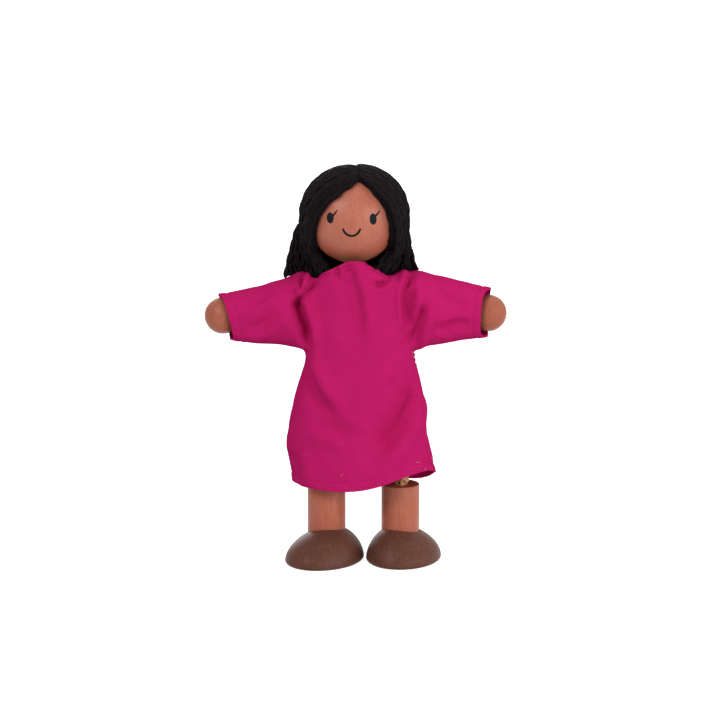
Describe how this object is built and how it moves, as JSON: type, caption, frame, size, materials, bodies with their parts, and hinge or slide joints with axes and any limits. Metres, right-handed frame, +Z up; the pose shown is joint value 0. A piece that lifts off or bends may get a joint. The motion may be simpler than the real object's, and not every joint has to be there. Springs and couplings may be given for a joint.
{
  "type": "bendy dollhouse figure",
  "caption": "Standing wooden dollhouse figure with wire-cored rope limbs, ball hands, domed shoes, black yarn hair and a magenta tunic.",
  "frame": {"origin": "on the ground, under the middle of the whole figure's box", "axes": "+Z up along the figure, which faces -Y, with its own left hand towards +X"},
  "size_m": [0.098, 0.0396, 0.1315],
  "materials": {
    "skin_wood": "stained turned wood, satin varnish",
    "plain_wood": "unfinished turned wood",
    "shoe_wood": "dark brown satin lacquer on turned wood",
    "rope": "golden brown braided cord",
    "wire": "soft bare steel wire",
    "yarn": "black twisted yarn",
    "tunic_cloth": "magenta plain-woven cotton"
  },
  "bodies": {
    "torso": {"torso": "plain_wood", "neck_peg": "plain_wood", "arm_rope_middle": "rope", "arm_wire_middle": "wire", "tunic_bodice": "tunic_cloth"},
    "head": {"head": "skin_wood", "hair_cap": "yarn", "hair_fall_back": "yarn", "hair_fall_left": "yarn", "hair_fall_right": "yarn"},
    "upper_arm_left": {"upper_arm_rope_left": "rope", "upper_arm_wire_left": "wire", "tunic_sleeve_left": "tunic_cloth"},
    "forearm_left": {"forearm_rope_left": "rope", "forearm_wire_left": "wire", "hand_left": "skin_wood", "tunic_cuff_left": "tunic_cloth"},
    "upper_arm_right": {"upper_arm_rope_right": "rope", "upper_arm_wire_right": "wire", "tunic_sleeve_right": "tunic_cloth"},
    "forearm_right": {"forearm_rope_right": "rope", "forearm_wire_right": "wire", "hand_right": "skin_wood", "tunic_cuff_right": "tunic_cloth"},
    "hips": {"hip_rope_left": "rope", "hip_wire_left": "wire", "hip_rope_right": "rope", "hip_wire_right": "wire", "tunic_skirt": "tunic_cloth"},
    "thigh_left": {"thigh_rope_left": "rope", "thigh_wire_left": "wire"},
    "thigh_right": {"thigh_rope_right": "rope", "thigh_wire_right": "wire"},
    "lower_leg_left": {"shin_rope_left": "rope", "shin_wire_left": "wire", "lower_leg_left": "skin_wood", "shoe_left": "shoe_wood"},
    "lower_leg_right": {"shin_rope_right": "rope", "shin_wire_right": "wire", "lower_leg_right": "skin_wood", "shoe_right": "shoe_wood"}
  },
  "joints": [
    {"name": "head_turn", "type": "hinge", "parent": "torso", "child": "head", "pos_m": [-0.0008, 0, 0.098], "axis": [0, 0, 1], "range_deg": [-75, 75], "deforming": ["hair_fall_back", "hair_fall_left", "hair_fall_right"]},
    {"name": "shoulder_raise_left", "type": "hinge", "parent": "torso", "child": "upper_arm_left", "pos_m": [0.013, 0, 0.086], "axis": [0, -1, 0], "range_deg": [-50, 45], "deforming": ["arm_rope_middle", "arm_wire_middle", "upper_arm_rope_left", "upper_arm_wire_left", "tunic_bodice", "tunic_sleeve_left"]},
    {"name": "elbow_bend_left", "type": "hinge", "parent": "upper_arm_left", "child": "forearm_left", "pos_m": [0.027, 0, 0.084], "axis": [0, 0, -1], "range_deg": [-45, 95], "deforming": ["forearm_rope_left", "forearm_wire_left", "tunic_cuff_left"]},
    {"name": "shoulder_raise_right", "type": "hinge", "parent": "torso", "child": "upper_arm_right", "pos_m": [-0.013, 0, 0.086], "axis": [0, 1, 0], "range_deg": [-50, 45], "deforming": ["upper_arm_rope_right", "upper_arm_wire_right", "tunic_sleeve_right"]},
    {"name": "elbow_bend_right", "type": "hinge", "parent": "upper_arm_right", "child": "forearm_right", "pos_m": [-0.027, 0, 0.0836], "axis": [0, 0, 1], "range_deg": [-45, 95], "deforming": ["forearm_rope_right", "forearm_wire_right", "tunic_cuff_right"]},
    {"name": "hips_fold", "type": "hinge", "parent": "torso", "child": "hips", "pos_m": [0, 0, 0.051], "axis": [-1, 0, 0], "range_deg": [-15, 90], "deforming": ["hip_rope_left", "hip_wire_left", "hip_rope_right", "hip_wire_right", "tunic_skirt"]},
    {"name": "leg_swing_left", "type": "hinge", "parent": "hips", "child": "thigh_left", "pos_m": [0.0085, -0.0003, 0.046], "axis": [-1, 0, 0], "range_deg": [-15, 15], "deforming": ["thigh_rope_left", "thigh_wire_left"]},
    {"name": "knee_bend_left", "type": "hinge", "parent": "thigh_left", "child": "lower_leg_left", "pos_m": [0.0147, -0.0015, 0.0273], "axis": [1, 0, 0], "range_deg": [0, 60], "deforming": ["shin_rope_left", "shin_wire_left"]},
    {"name": "leg_swing_right", "type": "hinge", "parent": "hips", "child": "thigh_right", "pos_m": [-0.0063, -0.0003, 0.046], "axis": [-1, 0, 0], "range_deg": [-15, 15], "deforming": ["thigh_rope_right", "thigh_wire_right"]},
    {"name": "knee_bend_right", "type": "hinge", "parent": "thigh_right", "child": "lower_leg_right", "pos_m": [-0.00955, -0.0015, 0.0273], "axis": [1, 0, 0], "range_deg": [0, 60], "deforming": ["shin_rope_right", "shin_wire_right"]}
  ]
}
